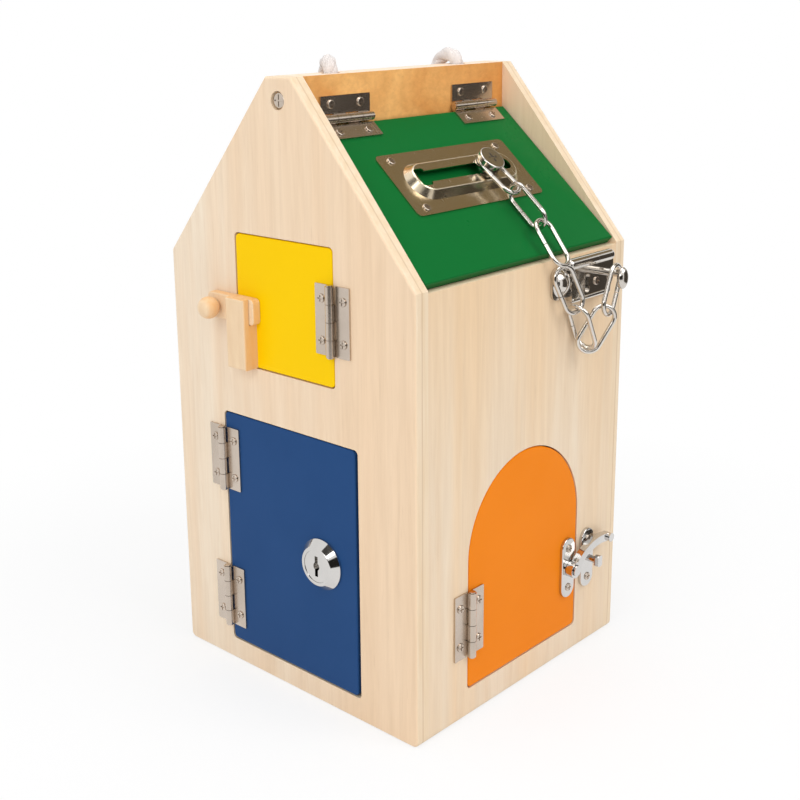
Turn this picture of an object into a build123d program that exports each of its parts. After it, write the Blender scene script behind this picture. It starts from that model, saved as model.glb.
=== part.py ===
from build123d import *

import os
from math import atan2, cos, degrees, radians, sin, tan

# House shell, millimetres
house_width = 180.0
house_depth = 180.0
eaves_height = 238.0
ridge_height = 335.0
gable_thickness = 9.0
wall_thickness = 9.0
foot_radius = 3.5
gable_edge_radius = 1.5
board_thickness = 6.0
shelf_height = 163.0
cut_over = 1.0

# Ridge board, roof boards and lid
ridge_thickness = 18.5
ridge_board_height = 38.0
roof_thickness = 5.0
roof_line_drop = 23.5
roof_eaves_rise = 3.0
roof_setback = 2.0
roof_side_gap = 1.0
roof_ridge_gap = 0.8
roof_seat_gap = 0.3
roof_edge_radius = 1.0

# Ridge screws
ridge_screw_drop = 11.6
ridge_screw_head_radius = 4.2
ridge_screw_head_height = 1.8
ridge_screw_shank_radius = 2.0
ridge_screw_length = 25.0
ridge_screw_well_radius = 4.75
ridge_screw_well_depth = 2.6

# Doors
door_thickness = 5.0
door_gap = 0.65
door_edge_radius = 0.8
door_corner_radius = 2.6
yellow_door_width = 71.5
yellow_door_height = 71.5
yellow_door_bottom = 181.6
blue_door_width = 99.0
blue_door_shift = 0.5
blue_free_gap = 2.2
blue_door_height = 137.5
blue_door_bottom = 13.8
orange_door_width = 98.0
orange_door_spring = 88.5
orange_door_bottom = 17.3

# Butt hinges
hinge_length = 36.5
hinge_leaf_width = 11.8
hinge_leaf_thickness = 1.0
hinge_corner_radius = 0.5
hinge_barrel_radius = 2.3
hinge_stand_off = 2.65
hinge_pin_radius = 1.1
hinge_pin_head_radius = 1.7
hinge_pin_head_height = 0.5
hinge_running_gap = 0.05
hinge_side_gap = 0.4
hinge_end_gap = 0.15
hinge_knuckles = 4
hinge_screw_out = 7.5
hinge_screw_spacing = 21.7
yellow_hinge_height = 216.7
blue_hinge_heights = (41.0, 124.5)
orange_hinge_height = 55.3
lid_hinge_spread = 104.0

# Small wood screws
screw_head_radius = 2.3
screw_head_height = 0.8
screw_shank_radius = 1.2
screw_clearance = 0.1
screw_wall_depth = 7.0
screw_board_depth = 4.0
cross_width = 0.7
cross_depth = 0.5
cross_length_share = 0.72
head_round_share = 0.5

# Drop latch of the yellow door
catch_width = 14.5
catch_height = 38.4
catch_depth = 9.0
catch_lip = 3.6
catch_notch_depth = 14.2
catch_edge_radius = 1.0
bar_length = 36.5
bar_height = 14.0
bar_thickness = 4.8
bar_clearance = 0.3
bar_overhang = 3.2
bar_corner_radius = 2.5
bar_edge_radius = 0.8
bar_pivot_inset = 8.0
latch_pin_radius = 2.0
latch_pin_depth = 7.0
latch_pin_gap = 0.08
latch_ball_radius = 6.0

# Cam lock of the blue door
lock_inset = 24.6
lock_lip_radius = 14.1
lock_lip_height = 1.2
lock_nose_radius = 10.6
lock_nose_height = 5.1
lock_edge_radius = 0.7
lock_barrel_radius = 9.25
lock_barrel_depth = 9.4
lock_hole_gap = 0.1
lock_nut_radius = 13.5
lock_nut_height = 3.6
lock_plug_radius = 6.5
lock_plug_gap = 0.06
lock_face_radius = 8.8
lock_face_height = 3.4
lock_face_recess = 0.3
keyhole_length = 11.4
keyhole_width = 2.2
keyhole_bulge_radius = 2.2
keyhole_depth = 5.5
cam_length = 40.5
cam_width = 13.0
cam_thickness = 2.0
cam_gap = 0.1
cam_square = 7.0
cam_screw_head_radius = 4.4
cam_screw_head_height = 1.6
cam_screw_radius = 1.6
cam_screw_depth = 6.0

# Swing hook of the orange door
hook_plate_length = 36.0
hook_plate_width = 12.0
hook_plate_thickness = 2.0
hook_plate_edge_radius = 0.6
hook_screw_spacing = 23.6
hook_height = 55.8
hook_base_inset = 9.4
hook_strike_offset = 9.8
hook_post_radius = 2.0
hook_post_gap = 0.06
hook_rivet_radius = 3.2
hook_rivet_height = 0.8
hook_hub_radius = 4.6
hook_arm_lift = 3.2
hook_arm_thickness = 4.0
hook_arm_width = 4.6
hook_arm_reach = 33.5
hook_arm_rise = 9.6
hook_belly_reach_share = 0.40
hook_belly_rise_share = 0.90
hook_tab_radius = 2.6
hook_tab_height = 5.6
hook_axial_gap = 0.3
peg_radius = 2.0
peg_head_radius = 3.4
peg_head_height = 2.8
peg_head_flat = 2.2
peg_head_gap = 0.6

# Slot plate on the lid
slot_plate_length = 105.0
slot_plate_width = 41.0
slot_plate_thickness = 0.8
slot_plate_corner_radius = 3.0
slot_plate_centre = 47.5
slot_screw_spacing_x = 86.6
slot_screw_spacing_y = 32.0
channel_length = 88.0
channel_width = 26.0
channel_height = 5.0
channel_wall = 0.9
channel_taper_degrees = 38.0
channel_edge_radius = 1.6
slot_width = 7.5
slot_right = 37.0
slot_left = -39.0
entry_width = 11.4
entry_length = 7.6

# Chain head in the slot
head_place = 16.0
head_disc_radius = 7.6
head_disc_height = 3.0
head_edge_radius = 0.7
head_neck_radius = 2.5
head_collar_radius = 7.0
head_collar_height = 0.8
head_foot_length = 10.4
head_foot_width = 6.4
head_foot_height = 2.0
head_slide_gap = 0.35
head_cross_length = 6.4
head_cross_width = 1.4

# Chain
link_length = 30.0
link_width = 15.0
link_wire = 2.5
link_slit = 0.35
link_gap = 0.3
lid_run_shares = ((0.10, 0.80, 0.01), (0.04, 0.975, -0.02), (-0.008, 0.965, -0.188))
lid_roll_degrees = (0.0, 102.0, 0.0)
hang_run_shares = ((0.413, -0.142, -0.890), (0.4405, 0.006, -0.893), (0.296, -0.299, 0.767))
hang_roll_degrees = (12.75, 91.3, 142.8)
fold_slack_share = 0.0615
stud_run_shares = (0.3607, 0.03, 0.7672)
stud_roll_degrees = 6.4

# Chain bracket on the front wall
bracket_length = 58.0
bracket_height = 24.0
bracket_plate = 1.5
bracket_flange_height = 17.4
bracket_corner_radius = 4.0
bracket_body_length = 44.0
bracket_body_inset = 2.0
bracket_face_depth = 3.4
bracket_hood_radius = 3.2
bracket_hood_out = 1.8
bracket_lip_radius = 1.5
bracket_lip_out = 2.6
bracket_lip_inset = 1.0
bracket_dome_radius = 8.5
bracket_dome_height = 5.2
bracket_dome_inset = 8.0
bracket_dome_drop = 0.2
bracket_eye_length = 10.5
bracket_eye_width = 4.6
bracket_eye_inset = 28.0
bracket_screw_insets = (19.6, 6.0)
bracket_screw_drop = 3.4
stud_side = 58.292
stud_out = 14.601
stud_eaves_drop = 12.096
stud_inset = 17.7
stud_drop = 10.1
stud_neck_radius = 2.0
stud_head_half_width = 4.0
stud_head_half_height = 6.0
stud_head_half_depth = 2.6
stud_head_drop = 2.2

# Rope handle, its route's heights counted from the ridge's top
rope_radius = 4.0
rope_hole_gap = 0.9
rope_left = -52.0
rope_right = 51.0
knot_radius = 8.0
knot_cut_share = 0.6
rope_route = (
    (-52.0, 0.0, -24.0),
    (-51.8, 0.1, -10.0),
    (-52.0, 0.2, 5.4),
    (-38.5, 17.0, 5.0),
    (-35.0, 21.8, -18.0),
    (-30.5, 32.0, -37.0),
    (-19.0, 47.5, -51.6),
    (24.0, 50.0, -54.0),
    (43.0, 33.0, -38.0),
    (50.5, 22.5, -19.0),
    (56.0, 17.0, 5.0),
    (51.0, 0.2, 5.4),
    (51.2, 0.1, -10.0),
    (51.0, 0.0, -24.0),
)
rope_bend_share = 0.45

# Values worked out from the driving dimensions
half_width = house_width / 2
half_depth = house_depth / 2
inner_width = house_width - 2 * gable_thickness
half_ridge = ridge_thickness / 2
roof_line_height = ridge_height - roof_line_drop
roof_eaves_height = eaves_height + roof_eaves_rise
roof_run = half_depth - roof_setback - half_ridge
roof_pitch = atan2(roof_line_height - roof_eaves_height, roof_run)
wall_height = roof_eaves_height - roof_thickness * cos(roof_pitch) - roof_seat_gap
link_pitch = link_length - 2 * link_wire - link_gap
front_face = Plane(origin=(0, -half_depth, 0), x_dir=(1, 0, 0), z_dir=(0, -1, 0))
lid_face = Plane(
    origin=(0, -half_ridge, roof_line_height),
    x_dir=(1, 0, 0),
    z_dir=(0, -sin(roof_pitch), cos(roof_pitch)),
)

nodes = {}


def keep(name, *solids):
    """Files the finished solids of one node under its name."""
    nodes[name] = list(solids)


def block(low, high):
    """A box between two corner points."""
    size = [b - a for a, b in zip(low, high)]
    middle = [(a + b) / 2 for a, b in zip(low, high)]
    return Pos(*middle) * Box(*size)


def rod(radius, low, high):
    """A round bar along the local Z axis."""
    return Pos(0, 0, (low + high) / 2) * Cylinder(radius, high - low)


def rounded(solid, axis, radius):
    """Rounds the edges that run along one axis."""
    return fillet(solid.edges().filter_by(axis), radius)


def screw(head_radius, head_height, shank_radius, shank_length):
    """A cross-head screw, its head standing on the local XY plane."""
    head = rod(head_radius, 0, head_height)
    head = fillet(head.edges().group_by(Axis.Z)[-1], head_height * head_round_share)
    arm = head_radius * cross_length_share
    for size in ((2 * arm, cross_width), (cross_width, 2 * arm)):
        head -= Pos(0, 0, head_height) * Box(*size, 2 * cross_depth)
    return head + rod(shank_radius, -shank_length, 0)


def pilot(shank_radius, depth):
    """The hole that a screw's shank takes in the wood."""
    return rod(shank_radius + screw_clearance, -depth - screw_clearance, cut_over)


def small_screw(depth, through):
    """A small wood screw that passes a plate and goes a given depth into the wood."""
    return screw(screw_head_radius, screw_head_height, screw_shank_radius, depth + through)


# Hinges
def hinge_leaf(side, first):
    """One leaf with its knuckles, in the hinge's own frame: pin along Z, faces towards Y."""
    low = -hinge_stand_off
    high = low + hinge_leaf_thickness
    inner = hinge_barrel_radius + hinge_side_gap
    half = hinge_length / 2
    leaf = block((inner, low, -half), (hinge_leaf_width, high, half))
    corners = leaf.edges().filter_by(Axis.Y).group_by(Axis.X)[-1]
    leaf = fillet(corners, hinge_corner_radius)
    pitch = hinge_length / hinge_knuckles
    for index in range(first, hinge_knuckles, 2):
        start = -half + index * pitch + hinge_end_gap
        end = -half + (index + 1) * pitch - hinge_end_gap
        leaf += rod(hinge_barrel_radius, start, end)
        leaf += block((0, low, start), (inner + hinge_leaf_thickness, high, end))
    leaf -= rod(hinge_pin_radius + hinge_running_gap, -half - cut_over, half + cut_over)
    for place in hinge_screw_places():
        leaf -= place * pilot(screw_shank_radius, hinge_leaf_thickness + cut_over)
    return mirrored(leaf, side)


def mirrored(solid, side):
    """The solid itself, or its mirror image across the hinge's pin for the other side."""
    return solid if side > 0 else mirror(solid, about=Plane.YZ)


def hinge_screw_places():
    """Where the two screws of a leaf stand, heads outwards."""
    top = -hinge_stand_off + hinge_leaf_thickness
    half = hinge_screw_spacing / 2
    return [Pos(hinge_screw_out, top, z) * Rot(-90, 0, 0) for z in (-half, half)]


def hinge_pin():
    """The pin with a small head at each end."""
    half = hinge_length / 2
    pin = rod(hinge_pin_radius, -half, half)
    pin += rod(hinge_pin_head_radius, half, half + hinge_pin_head_height)
    return pin + rod(hinge_pin_head_radius, -half - hinge_pin_head_height, -half)


def hinge(frame, fold, fixed_depth, moving_depth):
    """A whole hinge in place, with the pilot holes that its screws take."""
    place = frame.location
    turned = place * Rot(0, 0, fold)
    found = {
        "fixed_leaf": place * hinge_leaf(-1, 0),
        "moving_leaf": turned * hinge_leaf(1, 1),
        "pin": place * hinge_pin(),
    }
    sides = (("fixed", place, -1, fixed_depth), ("moving", turned, 1, moving_depth))
    for name, spot, side, depth in sides:
        driven = small_screw(depth, hinge_leaf_thickness)
        hole = pilot(screw_shank_radius, depth + hinge_leaf_thickness)
        found[name + "_screws"] = [
            spot * mirrored(at * driven, side) for at in hinge_screw_places()
        ]
        found[name + "_holes"] = [spot * mirrored(at * hole, side) for at in hinge_screw_places()]
    return found


def gable_hinge(y, z, towards):
    """A hinge on the left gable whose door lies towards plus or minus Y."""
    frame = Plane(
        origin=(-half_width - hinge_stand_off, y, z),
        x_dir=(0, towards, 0),
        z_dir=(0, 0, towards),
    )
    return hinge(frame, 0, screw_wall_depth, screw_board_depth)


def front_hinge(x, z):
    """A hinge on the front wall whose door lies towards plus X."""
    frame = Plane(
        origin=(x, -half_depth - hinge_stand_off, z), x_dir=(1, 0, 0), z_dir=(0, 0, -1)
    )
    return hinge(frame, 0, screw_wall_depth, screw_board_depth)


lid_axis_y = -half_ridge - hinge_stand_off
lid_axis_rise = hinge_stand_off * (1 - sin(roof_pitch)) / cos(roof_pitch)
lid_axis_z = roof_line_height + lid_axis_rise


def lid_hinge(x):
    """A hinge between the ridge board's front face and the lid's top face."""
    frame = Plane(origin=(x, lid_axis_y, lid_axis_z), x_dir=(0, 0, -1), z_dir=(-1, 0, 0))
    fold = 90 - degrees(roof_pitch)
    return hinge(frame, fold, screw_wall_depth, screw_board_depth)


yellow_axis_y = -yellow_door_width / 2 - door_gap / 2
blue_axis_y = blue_door_shift + blue_door_width / 2 + door_gap / 2
orange_axis_x = -orange_door_width / 2 - door_gap / 2
yellow_hinge = gable_hinge(yellow_axis_y, yellow_hinge_height, 1)
blue_hinges = [gable_hinge(blue_axis_y, z, -1) for z in blue_hinge_heights]
orange_hinge = front_hinge(orange_axis_x, orange_hinge_height)
lid_hinges = [lid_hinge(x) for x in (-lid_hinge_spread / 2, lid_hinge_spread / 2)]


# Drop latch of the yellow door
catch_left = yellow_door_width / 2
catch_right = catch_left - catch_width
catch_top = yellow_door_bottom + catch_height
bar_right = catch_right - bar_overhang
bar_left = bar_right + bar_length
bar_low = catch_top - bar_height
bar_back = half_width + bar_clearance
latch_pivot_y = bar_left - bar_pivot_inset
latch_pivot_z = bar_low + bar_height / 2
ball_place = bar_back + bar_thickness + bar_clearance + latch_ball_radius


def latch_axis(radius, low, high):
    """A round bar on the latch's pivot line, between two distances outwards from the middle."""
    return Pos(-(low + high) / 2, latch_pivot_y, latch_pivot_z) * Rot(0, 90, 0) * Cylinder(radius, high - low)


def latch_catch():
    """The notched block on the door that the bar drops into."""
    outer = half_width + catch_depth
    solid = block((-outer, catch_right, yellow_door_bottom), (-half_width, catch_left, catch_top))
    solid = fillet(solid.faces().sort_by(Axis.X)[0].edges(), catch_edge_radius)
    notch = block(
        (-outer + catch_lip, catch_right - cut_over, catch_top - catch_notch_depth),
        (-half_width + cut_over, catch_left + cut_over, catch_top + cut_over),
    )
    return solid - notch


def latch_bar():
    """The wooden bar that turns on the ball-headed peg."""
    solid = block((-bar_back - bar_thickness, bar_right, bar_low), (-bar_back, bar_left, catch_top))
    solid = rounded(solid, Axis.X, bar_corner_radius)
    solid = fillet(solid.faces().sort_by(Axis.X)[0].edges(), bar_edge_radius)
    return solid - latch_axis(latch_pin_radius + latch_pin_gap, half_width, ball_place)


def latch_peg():
    """The ball with the peg that holds the bar to the gable."""
    ball = Pos(-ball_place, latch_pivot_y, latch_pivot_z) * Sphere(latch_ball_radius)
    return ball + latch_axis(latch_pin_radius, half_width - latch_pin_depth, ball_place)


keep("latch_catch", latch_catch())
keep("latch_bar", latch_bar())
keep("latch_peg", latch_peg())

# Cam lock of the blue door
lock_y = blue_door_shift - blue_door_width / 2 + lock_inset
lock_z = blue_door_bottom + blue_door_height / 2
lock_place = Plane(origin=(-half_width, lock_y, lock_z), x_dir=(0, -1, 0), z_dir=(-1, 0, 0)).location
lock_back = -lock_barrel_depth
lock_face_top = lock_nose_height - lock_face_recess
lock_face_low = lock_face_top - lock_face_height
cam_front = lock_back - cam_gap
cam_back = cam_front - cam_thickness


def lock_housing():
    """The bezel on the door's face and the barrel through the door."""
    taper = lock_nose_height - lock_lip_height
    nose = Pos(0, 0, lock_lip_height + taper / 2) * Cone(lock_lip_radius, lock_nose_radius, taper)
    solid = rod(lock_lip_radius, 0, lock_lip_height) + nose
    solid = fillet(solid.edges().group_by(Axis.Z)[-1], lock_edge_radius)
    solid += rod(lock_barrel_radius, lock_back, 0)
    solid -= rod(lock_face_radius + lock_plug_gap, lock_face_low, lock_nose_height + cut_over)
    return solid - rod(lock_plug_radius + lock_plug_gap, lock_back - cut_over, lock_nose_height)


def lock_nut():
    """The six-sided nut that clamps the barrel from behind."""
    top = -door_thickness
    outline = RegularPolygon(lock_nut_radius, 6)
    solid = Pos(0, 0, top - lock_nut_height) * extrude(outline, lock_nut_height)
    return solid - rod(lock_barrel_radius + lock_hole_gap, top - lock_nut_height - cut_over, top + cut_over)


def lock_plug():
    """The turning plug with its keyhole and the square that drives the cam."""
    solid = rod(lock_face_radius, lock_face_low, lock_face_top)
    solid += rod(lock_plug_radius, lock_back, lock_face_low)
    solid += block((-cam_square / 2, -cam_square / 2, cam_back), (cam_square / 2, cam_square / 2, lock_back))
    hole_low = lock_face_top - keyhole_depth
    solid -= block(
        (-keyhole_width / 2, -keyhole_length / 2, hole_low),
        (keyhole_width / 2, keyhole_length / 2, lock_face_top + cut_over),
    )
    solid -= rod(keyhole_bulge_radius, hole_low, lock_face_top + cut_over)
    return solid - rod(cam_screw_radius + screw_clearance, cam_back - cut_over, cam_back + cam_screw_depth)


def lock_cam():
    """The cam, hanging down when the lock is open."""
    outline = Pos(0, -(cam_length - cam_width) / 2 - cam_gap, 0) * Rot(0, 0, 90) * SlotOverall(
        cam_length + cam_gap, cam_width
    )
    solid = Pos(0, 0, cam_back) * extrude(outline, cam_thickness)
    side = cam_square / 2 + cam_gap
    return solid - block((-side, -side, cam_back - cut_over), (side, side, cam_front + cut_over))


cam_screw_turn = Pos(0, 0, cam_back) * Rot(180, 0, 0)
cam_screw = screw(cam_screw_head_radius, cam_screw_head_height, cam_screw_radius, cam_screw_depth - cam_gap)
keep("lock_housing", lock_place * lock_housing())
keep("lock_nut", lock_place * lock_nut())
keep("lock_plug", lock_place * lock_plug())
keep("lock_cam", lock_place * lock_cam())
keep("cam_screw", lock_place * cam_screw_turn * cam_screw)

# Swing hook of the orange door
hook_base_x = orange_door_width / 2 - hook_base_inset
hook_strike_x = orange_door_width / 2 + hook_strike_offset
hook_base_place = front_face.location * Pos(hook_base_x, hook_height, 0)
hook_strike_place = front_face.location * Pos(hook_strike_x, hook_height, 0)
hook_arm_top = hook_arm_lift + hook_arm_thickness
hook_screw_places = [
    Pos(0, side * hook_screw_spacing / 2, hook_plate_thickness) for side in (-1, 1)
]


def hook_plate():
    """A round-ended plate with two screw holes."""
    solid = extrude(Rot(0, 0, 90) * SlotOverall(hook_plate_length, hook_plate_width), hook_plate_thickness)
    solid = fillet(solid.faces().sort_by(Axis.Z)[-1].edges(), hook_plate_edge_radius)
    for place in hook_screw_places:
        solid -= place * pilot(screw_shank_radius, hook_plate_thickness + cut_over)
    return solid


def hook_base():
    """The door's plate with the post that the arm turns on, riveted over."""
    top = hook_arm_top + hook_axial_gap
    solid = hook_plate() + rod(hook_post_radius, hook_plate_thickness, top)
    solid += rod(hook_hub_radius, hook_plate_thickness, hook_arm_lift - hook_axial_gap)
    return solid + rod(hook_rivet_radius, top, top + hook_rivet_height)


def hook_arm():
    """The curved arm with its finger tab, raised clear of the peg."""
    belly = (hook_arm_reach * hook_belly_reach_share, hook_arm_rise * hook_belly_rise_share)
    curve = ThreePointArc((0, 0), belly, (hook_arm_reach, hook_arm_rise))
    outline = trace(curve, line_width=hook_arm_width) + Circle(hook_hub_radius)
    outline += Pos(hook_arm_reach, hook_arm_rise) * Circle(hook_tab_radius)
    solid = Pos(0, 0, hook_arm_lift) * extrude(outline, hook_arm_thickness)
    tab = rod(hook_tab_radius, hook_arm_lift, hook_arm_lift + hook_tab_height)
    solid += Pos(hook_arm_reach, hook_arm_rise, 0) * tab
    return solid - rod(hook_post_radius + hook_post_gap, 0, hook_arm_top + cut_over)


def hook_strike():
    """The wall's plate with the flat-headed peg that holds the arm."""
    low = hook_arm_top + peg_head_gap
    high = low + peg_head_height
    head = rod(peg_head_radius, low, high)
    head &= block((-peg_head_flat, -peg_head_radius, low), (peg_head_flat, peg_head_radius, high))
    return hook_plate() + rod(peg_radius, hook_plate_thickness, low) + head


keep("hook_base_plate", hook_base_place * hook_base())
keep("hook_arm", hook_base_place * hook_arm())
keep("hook_strike_plate", hook_strike_place * hook_strike())
base_screw = small_screw(screw_board_depth, hook_plate_thickness)
keep("hook_base_screws", *[hook_base_place * at * base_screw for at in hook_screw_places])
strike_screw = small_screw(screw_wall_depth, hook_plate_thickness)
keep("hook_strike_screws", *[hook_strike_place * at * strike_screw for at in hook_screw_places])

# Slot plate and chain head on the lid
slot_place = lid_face.location * Pos(0, -slot_plate_centre, 0)
slot_screw_places = [
    Pos(x * slot_screw_spacing_x / 2, y * slot_screw_spacing_y / 2, slot_plate_thickness)
    for x in (-1, 1)
    for y in (-1, 1)
]


def channel(inset, height):
    """The tapered, round-ended rise of the plate, drawn in by the wall for its inside."""
    outline = SlotOverall(channel_length - 2 * inset, channel_width - 2 * inset)
    return extrude(outline, height, taper=channel_taper_degrees)


def slot_plate():
    """The pressed plate with its raised channel, the slot and the wide entry at one end."""
    solid = extrude(
        RectangleRounded(slot_plate_length, slot_plate_width, slot_plate_corner_radius),
        slot_plate_thickness,
    )
    rise = channel(0, channel_height)
    rise = fillet(rise.faces().sort_by(Axis.Z)[-1].edges(), channel_edge_radius)
    slant = channel_wall / cos(radians(channel_taper_degrees))
    solid = solid + rise - channel(slant, channel_height - channel_wall)
    run = slot_right - slot_left
    solid -= Pos(slot_left + run / 2, 0, 0) * extrude(SlotOverall(run, slot_width), channel_height + cut_over)
    entry = RectangleRounded(entry_length, entry_width, entry_length / 4)
    solid -= Pos(slot_left + entry_length / 2, 0, 0) * extrude(entry, channel_height + cut_over)
    for place in slot_screw_places:
        solid -= place * pilot(screw_shank_radius, slot_plate_thickness + cut_over)
    return solid


head_wire_low = channel_height + head_slide_gap + head_collar_height + link_gap
head_disc_low = head_wire_low + link_wire + link_gap


def chain_head():
    """The round head with its neck through the slot and the long foot beneath it."""
    foot_top = channel_height - channel_wall - head_slide_gap
    solid = Pos(0, 0, foot_top - head_foot_height) * extrude(
        RectangleRounded(head_foot_width, head_foot_length, head_foot_width / 3), head_foot_height
    )
    solid += rod(head_neck_radius, foot_top, head_disc_low)
    collar_low = channel_height + head_slide_gap
    solid += rod(head_collar_radius, collar_low, collar_low + head_collar_height)
    disc = rod(head_disc_radius, head_disc_low, head_disc_low + head_disc_height)
    solid += fillet(disc.edges().group_by(Axis.Z)[-1], head_edge_radius)
    top = Pos(0, 0, head_disc_low + head_disc_height)
    for size in ((head_cross_length, head_cross_width), (head_cross_width, head_cross_length)):
        solid -= top * Box(*size, 2 * cross_depth)
    return solid


keep("slot_plate", slot_place * slot_plate())
plate_screw = small_screw(screw_board_depth, slot_plate_thickness)
keep("slot_plate_screws", *[slot_place * at * plate_screw for at in slot_screw_places])
keep("chain_head", slot_place * Pos(head_place, 0, 0) * chain_head())


# Chain of seven wire links
def chain_link():
    """One bent wire link with its butted ends in the middle of a side, lying along X."""
    bend = (link_width - link_wire) / 2
    half = (link_length - link_width) / 2
    tip = half + bend
    path = Line((link_slit / 2, -bend), (half, -bend))
    path += ThreePointArc((half, -bend), (tip, 0), (half, bend))
    path += Line((half, bend), (-half, bend))
    path += ThreePointArc((-half, bend), (-tip, 0), (-half, -bend))
    path += Line((-half, -bend), (-link_slit / 2, -bend))
    section = Plane(origin=path @ 0, z_dir=path % 0) * Circle(link_wire / 2)
    return sweep(section, path=path)


def link_between(start, end, reference, roll):
    """A link whose ends reach two points, turned about its length from a reference direction."""
    along = (end - start).normalized()
    normal = (reference - along * reference.dot(along)).normalized()
    side = along.cross(normal)
    facing = normal * cos(radians(roll)) + side * sin(radians(roll))
    return Plane(origin=(start + end) / 2, x_dir=along, z_dir=facing).location * chain_link()


head_wire_height = head_wire_low + link_wire / 2
reach_on_neck = head_neck_radius + link_gap / 2
reach_on_stud = stud_neck_radius + link_gap / 2


def lid_vector(share):
    """A chain step on the lid: across, down the slope and away from its face."""
    step = Vector(share[0], -share[1], share[2]) * link_pitch
    return lid_face.x_dir * step.X + lid_face.y_dir * step.Y + lid_face.z_dir * step.Z


neck_point = lid_face.from_local_coords(Vector(head_place, -slot_plate_centre, head_wire_height))
lid_points = [neck_point]
for share in lid_run_shares:
    lid_points.append(lid_points[-1] + lid_vector(share))
stud_step = Vector(*stud_run_shares) * link_pitch
stud_point = Vector(stud_side, -half_depth - stud_out, eaves_height - stud_eaves_drop)
hang_points = [stud_point - stud_step]
for share in reversed(hang_run_shares):
    hang_points.insert(0, hang_points[0] - Vector(*share) * link_pitch)
first_end = neck_point - lid_vector(lid_run_shares[0]).normalized() * reach_on_neck
last_end = stud_point + stud_step.normalized() * reach_on_stud
fold_run = (hang_points[-1] - hang_points[-2]).normalized()
fold_start = hang_points[-2] - fold_run * link_pitch * fold_slack_share
link_starts = [first_end] + lid_points[1:-1] + hang_points[:-2] + [fold_start, hang_points[-1]]
link_ends = lid_points[1:] + hang_points[1:] + [last_end]
link_rolls = lid_roll_degrees + hang_roll_degrees + (stud_roll_degrees,)
links = []
for index, roll in enumerate(link_rolls):
    reference = lid_face.z_dir if index < len(lid_run_shares) else front_face.z_dir
    links.append(link_between(link_starts[index], link_ends[index], reference, roll))
keep("chain_links_upper", *links[0:3])
keep("chain_links_middle", *links[3:5])
keep("chain_links_lower", *links[5:7])
for index, (start, end) in enumerate(zip(link_starts, link_ends)):
    print("link", index + 1, "span", round((end - start).length, 2), "of", round(link_pitch, 2))

# Chain bracket, placed by its stud
bracket_right = stud_point.X + stud_inset
bracket_left = bracket_right - bracket_length
bracket_top = stud_point.Z + stud_drop
bracket_low = bracket_top - bracket_height
bracket_mid_z = (bracket_top + bracket_low) / 2
bracket_place = front_face.location * Pos(bracket_left + bracket_length / 2, bracket_mid_z, 0)
bracket_screw_places = [
    Pos(bracket_length / 2 - inset, -bracket_screw_drop, bracket_face_depth)
    for inset in bracket_screw_insets
]


def rolled_edge(radius, low, high, height, out):
    """A round-ended bar along the bracket's length."""
    bar = rod(radius, low + radius, high - radius)
    for end in (low + radius, high - radius):
        bar += Pos(0, 0, end) * Sphere(radius)
    return Pos(0, height, out) * Rot(0, 90, 0) * bar


def chain_bracket():
    """The pressed bracket: a flange, a face under a rolled hood with a lip below, and a domed end."""
    half = bracket_length / 2
    top = bracket_height / 2 - bracket_hood_radius
    low = bracket_lip_inset - bracket_height / 2
    right = half - bracket_body_inset
    left = right - bracket_body_length
    flange = RectangleRounded(bracket_length, bracket_flange_height, bracket_corner_radius)
    solid = extrude(flange, bracket_plate)
    inner = left + bracket_hood_radius
    outer = right - bracket_hood_radius
    solid += block((inner, low, 0), (outer, top, bracket_face_depth))
    solid += rolled_edge(bracket_hood_radius, left, right, top, bracket_hood_out)
    solid += rolled_edge(bracket_lip_radius, inner, outer, low, bracket_lip_out)
    ball = (bracket_dome_radius**2 + bracket_dome_height**2) / (2 * bracket_dome_height)
    dome_place = Pos(bracket_dome_inset - half, -bracket_dome_drop, bracket_dome_height - ball)
    solid += dome_place * Sphere(ball)
    solid &= block((-half, -half, 0), (half, half, bracket_height))
    eye = Pos(half - bracket_eye_inset, -bracket_screw_drop, bracket_plate) * Rot(0, 0, 90)
    solid -= eye * extrude(SlotOverall(bracket_eye_length, bracket_eye_width), bracket_face_depth)
    for place in bracket_screw_places:
        solid -= place * pilot(screw_shank_radius, bracket_face_depth + cut_over)
    well = Pos(half - stud_inset, bracket_height / 2 - stud_drop, 0)
    return solid - well * rod(stud_neck_radius, bracket_plate, bracket_face_depth + cut_over)


def chain_stud():
    """The stud that carries the last link, with its upright oval head."""
    head_out = stud_out + link_wire / 2 + link_gap + stud_head_half_depth
    head = scale(Sphere(1), (stud_head_half_width, stud_head_half_height, stud_head_half_depth))
    return rod(stud_neck_radius, bracket_plate, head_out) + Pos(0, -stud_head_drop, head_out) * head


stud_place = front_face.location * Pos(stud_point.X, stud_point.Z, 0)
keep("chain_bracket", bracket_place * chain_bracket())
keep("chain_stud", stud_place * chain_stud())
bracket_screw = small_screw(screw_wall_depth, bracket_face_depth)
keep("chain_bracket_screws", *[bracket_place * at * bracket_screw for at in bracket_screw_places])


# Rope handle
def rope_handle():
    """The rope from one hole in the ridge board to the other, lying back on the rear roof."""
    low = ridge_height - ridge_board_height
    route = [(x, y, ridge_height + rise) for x, y, rise in rope_route]
    points = [(rope_left, 0, low), *route, (rope_right, 0, low)]
    spots = [Vector(*p) for p in points]
    radii = []
    for before, here, after in zip(spots, spots[1:], spots[2:]):
        turn = (here - before).get_angle(after - here)
        shorter = min((here - before).length, (after - here).length)
        radii.append(rope_bend_share * shorter / tan(radians(turn / 2)))
    path = FilletPolyline(*points, radius=radii)
    section = Plane(origin=path @ 0, z_dir=path % 0) * Circle(rope_radius)
    rope = sweep(section, path=path)
    print("rope radii", [round(r, 1) for r in radii])
    plain_volume = path.length * Circle(rope_radius).area
    print("rope length", round(path.length, 1), "volume share", round(rope.volume / plain_volume, 4))
    return rope


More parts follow.
